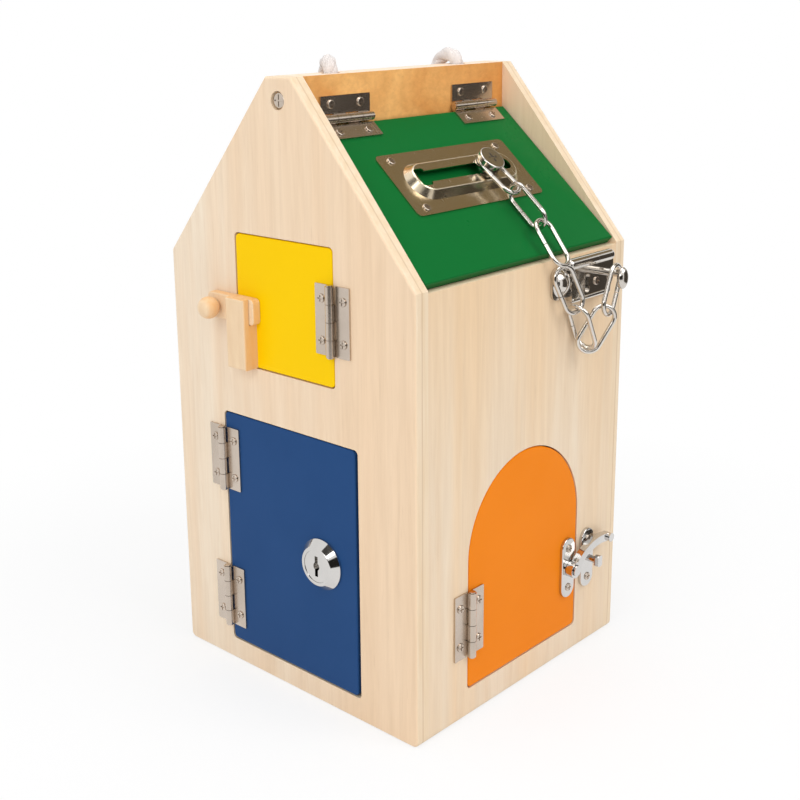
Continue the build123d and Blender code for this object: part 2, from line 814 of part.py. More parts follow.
def rope_knot(x):
    """A knot under the ridge board, flat where it bears on the wood."""
    top = ridge_height - ridge_board_height
    ball = Pos(x, 0, top - knot_radius * knot_cut_share) * Sphere(knot_radius)
    return ball - block((x - house_width, -half_depth, top), (x + house_width, half_depth, top + knot_radius))


keep("rope_handle", rope_handle())
keep("rope_knots", *[rope_knot(x) for x in (rope_left, rope_right)])


# Wooden shell
def gable(side):
    """A gable board, its outer edges rounded over."""
    outline = Polyline(
        (-half_depth, 0),
        (half_depth, 0),
        (half_depth, eaves_height),
        (half_ridge, ridge_height),
        (-half_ridge, ridge_height),
        (-half_depth, eaves_height),
        close=True,
    )
    solid = extrude(Plane.YZ * make_face(outline), side * gable_thickness)
    solid = fillet(solid.edges().filter_by(Axis.X).group_by(Axis.Z)[0], foot_radius)
    outer = solid.faces().sort_by(Axis.X)[-1 if side > 0 else 0]
    solid = Pos(side * inner_width / 2, 0, 0) * fillet(outer.edges(), gable_edge_radius)
    turn = Pos(side * half_width, 0, ridge_height - ridge_screw_drop) * Rot(0, side * 90, 0)
    solid -= turn * rod(ridge_screw_well_radius, -ridge_screw_well_depth, cut_over)
    return solid - turn * rod(ridge_screw_shank_radius + screw_clearance, -2 * gable_thickness, cut_over)


def ridge_screw(side):
    """A screw through a gable into the end of the ridge board."""
    place = Pos(side * (half_width - ridge_screw_well_depth), 0, ridge_height - ridge_screw_drop)
    driven = screw(
        ridge_screw_head_radius,
        ridge_screw_head_height,
        ridge_screw_shank_radius,
        ridge_screw_length,
    )
    return place * Rot(0, side * 90, 0) * driven


def door_slab(front, back, low, top, depth):
    """A door-shaped slab in the left gable, between two edges along Y, its outer face flush."""
    solid = block((-half_width, front, low), (-half_width + depth, back, top))
    return rounded(solid, Axis.X, door_corner_radius)


def yellow_slab(depth, gap):
    """The yellow door's slab, grown by a gap all round."""
    half = yellow_door_width / 2 + gap
    low = yellow_door_bottom - gap
    return door_slab(-half, half, low, yellow_door_bottom + yellow_door_height + gap, depth)


def blue_slab(depth, gap, free_gap):
    """The blue door's slab, grown by a gap, with one of its own on the lock's side."""
    front = blue_door_shift - blue_door_width / 2 - free_gap
    back = blue_door_shift + blue_door_width / 2 + gap
    low = blue_door_bottom - gap
    return door_slab(front, back, low, blue_door_bottom + blue_door_height + gap, depth)


def arch_slab(depth, grow):
    """The arched door's slab in the front wall, grown by a gap all round."""
    half = orange_door_width / 2 + grow
    low = block(
        (-half, -half_depth, orange_door_bottom - grow), (half, -half_depth + depth, orange_door_spring)
    )
    low = fillet(low.edges().filter_by(Axis.Y).group_by(Axis.Z)[0], door_corner_radius)
    crown = Pos(0, -half_depth + depth / 2, orange_door_spring) * Rot(90, 0, 0) * Cylinder(half, depth)
    return low + crown


def cut_away(solid, tools):
    """The solid with every tool taken out of it."""
    for tool in tools:
        solid -= tool
    return solid


def through(cutter, direction):
    """A cutter drawn a little past both faces of its board."""
    return cutter + Pos(*direction) * cutter + Pos(*[-d for d in direction]) * cutter


def left_gable():
    """The gable with the openings of the yellow and blue doors."""
    solid = gable(-1)
    out = (cut_over, 0, 0)
    yellow = yellow_slab(gable_thickness, door_gap)
    blue = blue_slab(gable_thickness, door_gap, blue_free_gap)
    solid = solid - through(yellow, out) - through(blue, out)
    tools = yellow_hinge["fixed_holes"] + [h for b in blue_hinges for h in b["fixed_holes"]]
    solid = cut_away(solid, tools)
    return solid - latch_axis(latch_pin_radius, half_width - latch_pin_depth, half_width + cut_over)


def front_wall():
    """The front wall with the arched opening, its foot rounded over."""
    half = inner_width / 2
    solid = block((-half, -half_depth, 0), (half, -half_depth + wall_thickness, wall_height))
    solid = fillet(solid.edges().filter_by(Axis.X).group_by(Axis.Z)[0].sort_by(Axis.Y)[0], foot_radius)
    solid -= through(arch_slab(wall_thickness, door_gap), (0, cut_over, 0))
    solid = cut_away(solid, orange_hinge["fixed_holes"])
    strike_hole = pilot(screw_shank_radius, screw_wall_depth + hook_plate_thickness)
    solid = cut_away(solid, [hook_strike_place * at * strike_hole for at in hook_screw_places])
    bracket_hole = pilot(screw_shank_radius, screw_wall_depth + bracket_face_depth)
    return cut_away(solid, [bracket_place * at * bracket_hole for at in bracket_screw_places])


def roof_top(y):
    """Height of the roof's top face at a distance from the middle of the house."""
    return roof_line_height - (y - half_ridge) * tan(roof_pitch)


def roof_board():
    """The front roof board: plumb cut at the ridge, square cut at the eaves."""
    near = half_ridge + roof_ridge_gap
    far = half_depth - roof_setback
    outline = Polyline(
        (-near, roof_top(near)),
        (-far, roof_top(far)),
        (-far + roof_thickness * sin(roof_pitch), roof_top(far) - roof_thickness * cos(roof_pitch)),
        (-near, roof_top(near) - roof_thickness / cos(roof_pitch)),
        close=True,
    )
    solid = extrude(Plane.YZ * make_face(outline), inner_width / 2 - roof_side_gap, both=True)
    top = solid.faces().sort_by(Axis(lid_face.origin, lid_face.z_dir))[-1]
    return fillet(top.edges(), roof_edge_radius)


def back_wall():
    """The back wall, its foot rounded over and its top bevelled to carry the fixed roof board."""
    inner = half_depth - wall_thickness
    drop = roof_thickness / cos(roof_pitch)
    outline = Polyline(
        (inner, 0),
        (half_depth, 0),
        (half_depth, roof_top(half_depth) - drop),
        (inner, roof_top(inner) - drop),
        close=True,
    )
    solid = extrude(Plane.YZ * make_face(outline), inner_width / 2, both=True)
    return fillet(solid.edges().filter_by(Axis.X).group_by(Axis.Z)[0].sort_by(Axis.Y)[-1], foot_radius)


def ridge_board():
    """The ridge board with its rope holes and the holes of its screws."""
    half = inner_width / 2
    low = ridge_height - ridge_board_height
    solid = block((-half, -half_ridge, low), (half, half_ridge, ridge_height))
    for x in (rope_left, rope_right):
        hole = rod(rope_radius + rope_hole_gap, -ridge_board_height - cut_over, cut_over)
        solid -= Pos(x, 0, ridge_height) * hole
    for side in (-1, 1):
        place = Pos(side * half_width, 0, ridge_height - ridge_screw_drop) * Rot(0, side * 90, 0)
        depth = ridge_screw_well_depth + ridge_screw_length + screw_clearance
        solid -= place * rod(ridge_screw_shank_radius + screw_clearance, -depth, 0)
    return cut_away(solid, [h for b in lid_hinges for h in b["fixed_holes"]])


def level_board(height):
    """A flat board between the four walls."""
    half = half_depth - wall_thickness
    return block((-inner_width / 2, -half, height), (inner_width / 2, half, height + board_thickness))


keep("gable_left", left_gable())
keep("gable_right", gable(1))
keep("front_wall", front_wall())
keep("back_wall", back_wall())
keep("floor_board", level_board(0))
keep("shelf_board", level_board(shelf_height))
keep("ridge_board", ridge_board())
keep("ridge_screws", ridge_screw(-1), ridge_screw(1))
keep("back_roof_board", mirror(roof_board(), about=Plane.XZ))


# Door panels and lid
def eased(panel, axis):
    """A door panel with its outer edges eased."""
    return fillet(panel.faces().sort_by(axis)[0].edges(), door_edge_radius)


yellow_panel = eased(yellow_slab(door_thickness, 0), Axis.X)
keep("yellow_door_panel", cut_away(yellow_panel, yellow_hinge["moving_holes"]))
blue_panel = eased(blue_slab(door_thickness, 0, 0), Axis.X)
blue_panel = cut_away(blue_panel, [h for b in blue_hinges for h in b["moving_holes"]])
lock_bore = rod(lock_barrel_radius + lock_hole_gap, -door_thickness - cut_over, cut_over)
keep("blue_door_panel", blue_panel - lock_place * lock_bore)
orange_panel = eased(arch_slab(door_thickness, 0), Axis.Y)
orange_panel = cut_away(orange_panel, orange_hinge["moving_holes"])
hook_depth = screw_board_depth + hook_plate_thickness
hook_holes = [hook_base_place * at * pilot(screw_shank_radius, hook_depth) for at in hook_screw_places]
keep("orange_door_panel", cut_away(orange_panel, hook_holes))
lid = cut_away(roof_board(), [h for b in lid_hinges for h in b["moving_holes"]])
plate_depth = screw_board_depth + slot_plate_thickness
lid_holes = [slot_place * at * pilot(screw_shank_radius, plate_depth) for at in slot_screw_places]
keep("lid_panel", cut_away(lid, lid_holes))


# Hinge nodes
def keep_hinge(name, wall, door, hinges):
    """Files the leaves, pins and screws of a door's hinges."""
    keep(name + "_hinge_" + wall + "_leaf", *[h["fixed_leaf"] for h in hinges])
    keep(name + "_hinge_" + door + "_leaf", *[h["moving_leaf"] for h in hinges])
    keep(name + "_hinge_pin", *[h["pin"] for h in hinges])
    keep(name + "_hinge_" + wall + "_screws", *[s for h in hinges for s in h["fixed_screws"]])
    keep(name + "_hinge_" + door + "_screws", *[s for h in hinges for s in h["moving_screws"]])


keep_hinge("yellow", "wall", "door", [yellow_hinge])
keep_hinge("blue", "wall", "door", blue_hinges)
keep_hinge("orange", "wall", "door", [orange_hinge])
keep_hinge("lid", "ridge", "lid", lid_hinges)

# One file for each node
os.makedirs("parts", exist_ok=True)
for name, solids in nodes.items():
    shape = solids[0] if len(solids) == 1 else Compound(children=solids)
    export_step(shape, os.path.join("parts", name + ".step"))
print(len(nodes), "nodes")
for label, point in (("pivot 5-6", hang_points[-2]), ("pivot 3-4", lid_points[-1]), ("stud", stud_point)):
    print(label, [round(v, 2) for v in point])
print("lid axis", round(lid_axis_y, 3), round(lid_axis_z, 3), "pitch", round(degrees(roof_pitch), 2))
print("latch pivot", latch_pivot_y, latch_pivot_z, "lock", lock_y, lock_z, "hook", hook_base_x, hook_height)
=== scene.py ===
"""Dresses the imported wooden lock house: finishes, rope handle, light and camera."""

from math import cos, pi, radians, sin

import bpy
from mathutils import Euler, Matrix, Vector


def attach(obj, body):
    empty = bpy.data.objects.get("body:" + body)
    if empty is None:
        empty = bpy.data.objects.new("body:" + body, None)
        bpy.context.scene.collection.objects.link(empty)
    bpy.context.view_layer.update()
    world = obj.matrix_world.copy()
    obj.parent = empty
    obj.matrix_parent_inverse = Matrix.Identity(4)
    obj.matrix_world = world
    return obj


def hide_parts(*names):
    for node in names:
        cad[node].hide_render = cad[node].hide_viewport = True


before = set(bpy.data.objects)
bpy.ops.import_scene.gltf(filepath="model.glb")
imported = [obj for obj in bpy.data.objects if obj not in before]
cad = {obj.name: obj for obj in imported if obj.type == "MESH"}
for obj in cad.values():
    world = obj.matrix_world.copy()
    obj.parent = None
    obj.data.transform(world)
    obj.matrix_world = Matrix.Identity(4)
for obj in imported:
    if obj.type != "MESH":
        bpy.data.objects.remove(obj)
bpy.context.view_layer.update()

# Sizes in metres
MM = 0.001
BOARD_THICKNESS = 9.0 * MM
GLUE_LINE = 0.55 * MM
STRAND_COUNT = 3
STRAND_RADIUS = 2.95 * MM
STRAND_OFFSET = 1.0 * MM
ROPE_LAY = 30.0 * MM
STRAND_SIDES = 14
LINE_STEPS = 10
LINE_ORDER = 3
FIRST_SIDE = (0.0, 0.3, 1.0)
KNOT_SPREAD = 1.55 * MM
KNOT_RISE = 3.0 * MM
KNOT_POINTS = 30
KNOT_SHRINK = 0.8

# Route of the rope, the same points as the solid's, in millimetres
ROPE_ROUTE = (
    (-52.0, 0.0, 297.0),
    (-52.0, 0.0, 311.0),
    (-51.8, 0.1, 325.0),
    (-52.0, 0.2, 340.4),
    (-38.5, 17.0, 340.0),
    (-35.0, 21.8, 317.0),
    (-30.5, 32.0, 298.0),
    (-19.0, 47.5, 283.4),
    (24.0, 50.0, 281.0),
    (43.0, 33.0, 297.0),
    (50.5, 22.5, 316.0),
    (56.0, 17.0, 340.0),
    (51.0, 0.2, 340.4),
    (51.2, 0.1, 325.0),
    (51.0, 0.0, 311.0),
    (51.0, 0.0, 297.0),
)

# Camera, from the photograph's perspective
CAMERA_PLACE = (-0.5212, -0.4633, 0.3698)
CAMERA_YAW = radians(45.93)
CAMERA_PITCH = radians(-14.23)
CAMERA_ROLL = radians(-0.996)
CAMERA_LENS = 56.75
CAMERA_SHIFT = (0.0653, -0.0968)

# Finish shares, bump depths and gloss
BAND_SHARE = 0.65
DRIFT_SHARE = 0.8
STREAK_SHARE = 0.26
PORE_SHARE = 0.2
EDGE_STREAK_SHARE = 0.5
GLUE_LINE_SHARE = 0.5
SMUDGE_SHARE = 0.5
SCRATCH_ROUGHNESS = 0.1
FACE_MASK = (0.75, 0.45)
STREAK_SPAN = (0.34, 0.68)
BAND_SPAN = (0.36, 0.66)
PORE_SPAN = (0.66, 0.74)
SMUDGE_SPAN = (0.35, 0.65)
SCRATCH_SPAN = (0.68, 0.76)
FINE_DEPTH = 0.1 * MM
FIBRE_DEPTH = 0.8 * MM
WOOD_BUMP = 0.1
PAINT_BUMP = 0.05
METAL_BUMP = 0.06
COTTON_BUMP = 0.9
WOOD_SMOOTHER = 0.05
WOOD_ROUGHER = 0.08
PAINT_ROUGHER = 0.1
METAL_ROUGHER = 0.08
COTTON_ROUGHNESS = 0.95
WOOD_GLOSS = 0.3
PAINT_GLOSS = 0.07
COTTON_GLOSS = 0.1
COTTON_SHEEN = 0.5
COTTON_PALE = (0.90, 0.85, 0.81)
COTTON_WARM_PATCH = (0.80, 0.70, 0.65)

# Light, in watts and metres
SOFT_LIGHT = 0.5
LAMP_SIZE = 1.2
HOUSE_MIDDLE = (0.0, 0.0, 0.17)
FLOOR_SIZE = 6.0
FLOOR_FADE = (0.12, 0.42)
FLOOR_GLOW = (0.72, 1.0)

# Lamps: name, place and power
LAMPS = (
    ("key_lamp", (0.3, -1.5, 1.5), 14.0),
    ("left_lamp", (-1.6, -0.4, 1.1), 12.5),
    ("top_lamp", (-0.1, 0.1, 1.8), 9.0),
)

# Cards that only reflections see: name, place, point faced, size and tone
CARDS = (
    ("upper_right_card", (0.95, -0.25, 1.15), (0.0, -0.05, 0.28), (0.9, 0.8), (0.25, 0.195, 0.11)),
    ("upper_left_card", (-0.93, -0.15, 0.98), (0.03, -0.06, 0.28), (0.6, 0.6), (0.05, 0.045, 0.04)),
    ("right_card", (0.42, -0.44, 0.2), (0.06, -0.08, 0.2), (0.7, 0.4), (0.07, 0.06, 0.05)),
    ("camera_card", (-0.59, -0.52, 0.2), (0.0, 0.045, 0.2), (1.5, 0.4), (0.02, 0.018, 0.016)),
)


# Shader node helpers
def tree_of(name):
    """A new material with an empty tree, ready for its nodes."""
    material = bpy.data.materials.new(name)
    material.use_nodes = True
    material.node_tree.nodes.clear()
    return material, material.node_tree


def add(tree, kind, **values):
    """Adds a node; values name its properties, or its inputs with spaces as underscores."""
    node = tree.nodes.new(kind)
    for key, value in values.items():
        if hasattr(node, key):
            setattr(node, key, value)
        else:
            node.inputs[key.replace("_", " ")].default_value = value
    return node


def join(tree, source, target):
    """Links an output socket to an input socket."""
    tree.links.new(source, target)


def math_node(tree, operation, first, second=None):
    """A math node on two sockets or numbers."""
    node = tree.nodes.new("ShaderNodeMath")
    node.operation = operation
    for socket, value in zip(node.inputs, (first, second)):
        if value is None:
            continue
        if isinstance(value, (int, float)):
            socket.default_value = value
        else:
            join(tree, value, socket)
    return node.outputs[0]


def span(tree, value, low, high, start=0.0, end=1.0):
    """Maps a value from one span to another, held at the ends."""
    node = add(tree, "ShaderNodeMapRange")
    join(tree, value, node.inputs["Value"])
    for key, number in (("From Min", low), ("From Max", high), ("To Min", start), ("To Max", end)):
        node.inputs[key].default_value = number
    return node.outputs["Result"]


def mixed(tree, factor, first, second):
    """Mixes two colours, each a socket or a colour."""
    node = tree.nodes.new("ShaderNodeMix")
    node.data_type = "RGBA"
    join(tree, factor, node.inputs["Factor"])
    for key, value in ((6, first), (7, second)):
        if isinstance(value, tuple):
            node.inputs[key].default_value = (*value, 1.0)
        else:
            join(tree, value, node.inputs[key])
    return node.outputs[2]


def object_place(tree, scale=(1.0, 1.0, 1.0)):
    """Object coordinates, stretched for a pattern."""
    place = add(tree, "ShaderNodeTexCoord")
    mapping = add(tree, "ShaderNodeMapping")
    mapping.inputs["Scale"].default_value = scale
    join(tree, place.outputs["Object"], mapping.inputs["Vector"])
    return mapping.outputs["Vector"]


def finish_material(tree, color, roughness, height, strength, distance=FINE_DEPTH, **plain):
    """Closes a material with a Principled shader; plain values go straight on its sockets."""
    shader = add(tree, "ShaderNodeBsdfPrincipled")
    output = add(tree, "ShaderNodeOutputMaterial")
    for key, value in plain.items():
        shader.inputs[key.replace("_", " ")].default_value = value
    join(tree, color, shader.inputs["Base Color"])
    if isinstance(roughness, float):
        shader.inputs["Roughness"].default_value = roughness
    else:
        join(tree, roughness, shader.inputs["Roughness"])
    bump = add(tree, "ShaderNodeBump", Strength=strength, Distance=distance)
    join(tree, height, bump.inputs["Height"])
    join(tree, bump.outputs["Normal"], shader.inputs["Normal"])
    join(tree, shader.outputs["BSDF"], output.inputs["Surface"])


# Shared effects
def group_frame(name, inputs, outputs):
    """An empty node group with named sockets."""
    group = bpy.data.node_groups.new(name, "ShaderNodeTree")
    for label, kind in inputs:
        group.interface.new_socket(label, in_out="INPUT", socket_type=kind)
    for label, kind in outputs:
        group.interface.new_socket(label, in_out="OUTPUT", socket_type=kind)
    return group, add(group, "NodeGroupInput"), add(group, "NodeGroupOutput")


def make_grain_group():
    """Wood grain on a stretched vector: fine streaks, broad bands and short pores."""
    group, given, made = group_frame(
        "wood_grain",
        [("Vector", "NodeSocketVector")],
        [("Streaks", "NodeSocketFloat"), ("Bands", "NodeSocketFloat"), ("Pores", "NodeSocketFloat")],
    )
    streaks = add(group, "ShaderNodeTexNoise", Scale=1.0, Detail=5.0, Roughness=0.65, Distortion=0.4)
    bands = add(group, "ShaderNodeTexNoise", Scale=0.09, Detail=3.0, Roughness=0.5, Distortion=1.2)
    pores = add(group, "ShaderNodeTexNoise", Scale=3.2, Detail=2.0, Roughness=0.5)
    for node in (streaks, bands, pores):
        join(group, given.outputs["Vector"], node.inputs["Vector"])
    join(group, span(group, streaks.outputs["Fac"], *STREAK_SPAN), made.inputs["Streaks"])
    join(group, span(group, bands.outputs["Fac"], *BAND_SPAN), made.inputs["Bands"])
    join(group, span(group, pores.outputs["Fac"], *PORE_SPAN), made.inputs["Pores"])
    return group


def make_rub_group():
    """Handling marks: soft smudges and thin scratches."""
    group, given, made = group_frame(
        "handling_marks",
        [("Vector", "NodeSocketVector")],
        [("Smudge", "NodeSocketFloat"), ("Scratch", "NodeSocketFloat")],
    )
    smudge = add(group, "ShaderNodeTexNoise", Scale=26.0, Detail=4.0, Roughness=0.55)
    join(group, given.outputs["Vector"], smudge.inputs["Vector"])
    mapping = add(group, "ShaderNodeMapping")
    mapping.inputs["Scale"].default_value = (900.0, 60.0, 140.0)
    mapping.inputs["Rotation"].default_value = (0.3, 0.7, 0.5)
    join(group, given.outputs["Vector"], mapping.inputs["Vector"])
    scratch = add(group, "ShaderNodeTexNoise", Scale=1.0, Detail=2.0, Roughness=0.5)
    join(group, mapping.outputs["Vector"], scratch.inputs["Vector"])
    join(group, span(group, smudge.outputs["Fac"], *SMUDGE_SPAN), made.inputs["Smudge"])
    join(group, span(group, scratch.outputs["Fac"], *SCRATCH_SPAN), made.inputs["Scratch"])
    return group


grain_group = make_grain_group()
rub_group = make_rub_group()


def placed(tree, group, vector):
    """Puts a shared group in a material, fed with a vector."""
    node = tree.nodes.new("ShaderNodeGroup")
    node.node_tree = group
    join(tree, vector, node.inputs["Vector"])
    return node.outputs


# Finishes
def facing_away(tree, axis):
    """A mask of the faces that look away from one of the object's own axes."""
    place = add(tree, "ShaderNodeTexCoord")
    normal = add(tree, "ShaderNodeSeparateXYZ")
    join(tree, place.outputs["Normal"], normal.inputs["Vector"])
    return span(tree, math_node(tree, "ABSOLUTE", normal.outputs[axis]), *FACE_MASK)


def wood(name, stretch, tones, roughness, drift=None, edge_or_highlight=None):
    """Bare wood with its grain; the tone may drift along an axis, and edges may differ from faces. On the
    boards this is the real edge of the board; on the ridge board it is a pale painted highlight on the top,
    bottom and ends.
    """
    pale, dark, pore = tones
    material, tree = tree_of(name)
    grain = placed(tree, grain_group, object_place(tree, stretch))
    color = mixed(tree, math_node(tree, "MULTIPLY", grain["Bands"], BAND_SHARE), pale, dark)
    if drift:
        axis, start, end = drift
        share = span(tree, axis_place(tree, axis), start, end, 0.0, DRIFT_SHARE)
        color = mixed(tree, share, color, dark)
    color = mixed(tree, math_node(tree, "MULTIPLY", grain["Streaks"], STREAK_SHARE), color, pore)
    color = mixed(tree, math_node(tree, "MULTIPLY", grain["Pores"], PORE_SHARE), color, pore)
    if edge_or_highlight:
        axis, edge_or_highlight_tone, glue_place = edge_or_highlight
        share = math_node(tree, "MULTIPLY", grain["Streaks"], EDGE_STREAK_SHARE)
        tone = mixed(tree, share, edge_or_highlight_tone, pale)
        if glue_place:
            tone = mixed(tree, glue_line(tree, axis, glue_place), tone, pore)
        color = mixed(tree, facing_away(tree, axis), color, tone)
    rough = span(tree, grain["Streaks"], 0.0, 1.0, roughness - WOOD_SMOOTHER, roughness + WOOD_ROUGHER)
    height = math_node(tree, "ADD", grain["Streaks"], grain["Pores"])
    finish_material(tree, color, rough, height, WOOD_BUMP, Specular_IOR_Level=WOOD_GLOSS)
    return material


def axis_place(tree, axis):
    """One of the object's own coordinates."""
    place = add(tree, "ShaderNodeTexCoord")
    spot = add(tree, "ShaderNodeSeparateXYZ")
    join(tree, place.outputs["Object"], spot.inputs["Vector"])
    return spot.outputs[axis]


def glue_line(tree, axis, middle):
    """A faint line along a board's edges, at a given place in its thickness."""
    depth = math_node(tree, "ABSOLUTE", axis_place(tree, axis))
    away = math_node(tree, "ABSOLUTE", math_node(tree, "SUBTRACT", depth, middle))
    return span(tree, away, GLUE_LINE / 2, GLUE_LINE, GLUE_LINE_SHARE, 0.0)


def painted(name, color, deep, roughness):
    """Satin paint on wood: slight depth of colour, brushed-out unevenness and handling marks."""
    material, tree = tree_of(name)
    place = object_place(tree)
    marks = placed(tree, rub_group, place)
    tone = mixed(tree, math_node(tree, "MULTIPLY", marks["Smudge"], SMUDGE_SHARE), color, deep)
    rough = span(tree, marks["Smudge"], 0.0, 1.0, roughness, roughness + PAINT_ROUGHER)
    peel = add(tree, "ShaderNodeTexNoise", Scale=700.0, Detail=2.0, Roughness=0.5)
    join(tree, place, peel.inputs["Vector"])
    finish_material(tree, tone, rough, peel.outputs["Fac"], PAINT_BUMP, Specular_IOR_Level=PAINT_GLOSS)
    return material


def plated(name, color, deep, roughness):
    """Plated steel: uneven tone, smudges in the gloss and fine scratches."""
    material, tree = tree_of(name)
    marks = placed(tree, rub_group, object_place(tree))
    tone = mixed(tree, marks["Smudge"], color, deep)
    rough = span(tree, marks["Smudge"], 0.0, 1.0, roughness, roughness + METAL_ROUGHER)
    scratched = math_node(tree, "MULTIPLY", marks["Scratch"], SCRATCH_ROUGHNESS)
    rough = math_node(tree, "ADD", rough, scratched)
    finish_material(tree, tone, rough, marks["Scratch"], METAL_BUMP, Metallic=1.0)
    return material


def cotton(name):
    """Soft white cotton: loose fibres, slightly warmer in broad random patches, with a sheen."""
    material, tree = tree_of(name)
    place = object_place(tree)
    fibre = add(tree, "ShaderNodeTexNoise", Scale=1100.0, Detail=4.0, Roughness=0.65)
    join(tree, place, fibre.inputs["Vector"])
    broad = add(tree, "ShaderNodeTexNoise", Scale=160.0, Detail=2.0)
    join(tree, place, broad.inputs["Vector"])
    tone = mixed(tree, broad.outputs["Fac"], COTTON_PALE, COTTON_WARM_PATCH)
    gloss = {"Sheen_Weight": COTTON_SHEEN, "Specular_IOR_Level": COTTON_GLOSS}
    height = fibre.outputs["Fac"]
    finish_material(tree, tone, COTTON_ROUGHNESS, height, COTTON_BUMP, FIBRE_DEPTH, **gloss)
    return material


BIRCH_PORE = (0.60, 0.40, 0.23)
BIRCH_EDGE = (0.80, 0.61, 0.40)
GABLE_TONES = ((0.92, 0.79, 0.625), (0.88, 0.645, 0.43), BIRCH_PORE)
WALL_TONES = ((0.86, 0.715, 0.545), (0.86, 0.605, 0.355), BIRCH_PORE)
RIDGE_TONES = ((0.96, 0.52, 0.17), (0.70, 0.25, 0.042), (0.42, 0.14, 0.03))
# Pale painted highlight for the ridge board's top, bottom and end faces, not a tone of the wood
RIDGE_TOP_HIGHLIGHT = (0.90, 0.74, 0.60)
LATCH_TONES = ((0.91, 0.71, 0.48), (0.86, 0.62, 0.38), (0.60, 0.36, 0.18))
LATCH_EDGE = (0.86, 0.50, 0.22)
UPRIGHT_GRAIN = (260.0, 260.0, 14.0)
RIDGE_GRAIN = (14.0, 260.0, 260.0)
FLAMED_GRAIN = (210.0, 120.0, 320.0)
LATCH_GRAIN = (200.0, 260.0, 30.0)
HOUSE_HALF = 90.0 * MM
GLUE_PLACE = HOUSE_HALF - BOARD_THICKNESS / 2
GABLE_DRIFT = (1, 0.08, -0.06)
WALL_DRIFT = (2, 0.13, 0.27)
RIDGE_DRIFT = (0, 0.0, 0.09)

finishes = {
    "gable": wood("birch_gable", UPRIGHT_GRAIN, GABLE_TONES, 0.5, GABLE_DRIFT, (0, BIRCH_EDGE, GLUE_PLACE)),
    "wall": wood("birch_wall", UPRIGHT_GRAIN, WALL_TONES, 0.5, WALL_DRIFT, (1, BIRCH_EDGE, GLUE_PLACE)),
    "level": wood("birch_level", RIDGE_GRAIN, WALL_TONES, 0.5),
    "roof": wood("birch_roof", RIDGE_GRAIN, WALL_TONES, 0.5),
    # The ridge board's faces that look away from its Y axis get the pale painted highlight
    "ridge": wood("flamed_ridge", FLAMED_GRAIN, RIDGE_TONES, 0.42, RIDGE_DRIFT, (1, RIDGE_TOP_HIGHLIGHT, None)),
    "latch": wood("turned_beech", LATCH_GRAIN, LATCH_TONES, 0.45, None, (0, LATCH_EDGE, None)),
    "green": painted("green_paint", (0.004, 0.146, 0.028), (0.003, 0.132, 0.024), 0.27),
    "yellow": painted("yellow_paint", (0.97, 0.61, 0.0), (0.95, 0.59, 0.0), 0.32),
    "blue": painted("blue_paint", (0.018, 0.068, 0.200), (0.015, 0.060, 0.180), 0.3),
    "orange": painted("orange_paint", (0.89, 0.240, 0.006), (0.86, 0.225, 0.005), 0.32),
    "nickel": plated("nickel_plate", (0.65, 0.56, 0.48), (0.54, 0.46, 0.385), 0.2),
    "chrome": plated("polished_chrome", (0.69, 0.67, 0.65), (0.60, 0.585, 0.565), 0.06),
    "bright": plated("bright_nickel", (0.72, 0.68, 0.63), (0.60, 0.56, 0.51), 0.09),
    "plate": plated("pressed_plate", (0.72, 0.61, 0.45), (0.60, 0.51, 0.37), 0.16),
    "cotton": cotton("white_cotton"),
}

FINISH_OF = {
    "gable": ("gable_left", "gable_right"),
    "wall": ("front_wall", "back_wall"),
    "level": ("floor_board", "shelf_board"),
    "roof": ("back_roof_board",),
    "ridge": ("ridge_board",),
    "latch": ("latch_catch", "latch_bar", "latch_peg"),
    "green": ("lid_panel",),
    "yellow": ("yellow_door_panel",),
    "blue": ("blue_door_panel",),
    "orange": ("orange_door_panel",),
    "chrome": ("lock_housing", "lock_plug", "hook_base_plate", "hook_arm", "hook_strike_plate"),
    "bright": (
        "chain_links_upper",
        "chain_links_middle",
        "chain_links_lower",
        "chain_bracket",
        "chain_stud",
        "chain_head",
    ),
    "plate": ("slot_plate",),
    "cotton": ("rope_handle", "rope_knots"),
}


def dress_nodes():
    """Gives every carried-over solid its finish; the rest is nickel-plated hardware."""
    chosen = {node: key for key, names in FINISH_OF.items() for node in names}
    for name, part in cad.items():
        part.data.materials.clear()
        part.data.materials.append(finishes[chosen.get(name, "nickel")])


# Rope handle
def smooth_line(name, route, closed=False):
    """Points along a smooth line, read from a spline with the route's points as its control points."""
    curve = bpy.data.curves.new(name, "CURVE")
    curve.dimensions = "3D"
    curve.resolution_u = LINE_STEPS
    spline = curve.splines.new("NURBS")
    spline.points.add(len(route) - 1)
    for point, place in zip(spline.points, route):
        point.co = (*place, 1.0)
    spline.order_u = LINE_ORDER
    spline.use_endpoint_u = not closed
    spline.use_cyclic_u = closed
    guide = bpy.data.objects.new(name, curve)
    bpy.context.collection.objects.link(guide)
    mesh = bpy.data.meshes.new_from_object(guide)
    line = [vertex.co.copy() for vertex in mesh.vertices]
    if closed:
        line.append(line[0].copy())
    bpy.data.objects.remove(guide)
    bpy.data.meshes.remove(mesh)
    return line


def carried_frames(line):
    """A side and an up direction at each point, carried along without twisting."""
    side = Vector(FIRST_SIDE)
    frames = []
    for index in range(len(line)):
        tangent = (line[min(index + 1, len(line) - 1)] - line[max(index - 1, 0)]).normalized()
        side = (side - tangent * side.dot(tangent)).normalized()
        frames.append((side, tangent.cross(side)))
    return frames


def strand_rings(line, frames, phase, size):
    """Rings of one strand that winds round a line."""
    rings = []
    travelled = 0.0
    for index, (point, (side, up)) in enumerate(zip(line, frames)):
        if index:
            travelled += (point - line[index - 1]).length
        angle = phase + 2 * pi * travelled / ROPE_LAY
        centre = point + (side * cos(angle) + up * sin(angle)) * STRAND_OFFSET * size
        ring = []
        for step in range(STRAND_SIDES):
            turn = 2 * pi * step / STRAND_SIDES
            ring.append(centre + (side * cos(turn) + up * sin(turn)) * STRAND_RADIUS * size)
        rings.append(ring)
    return rings


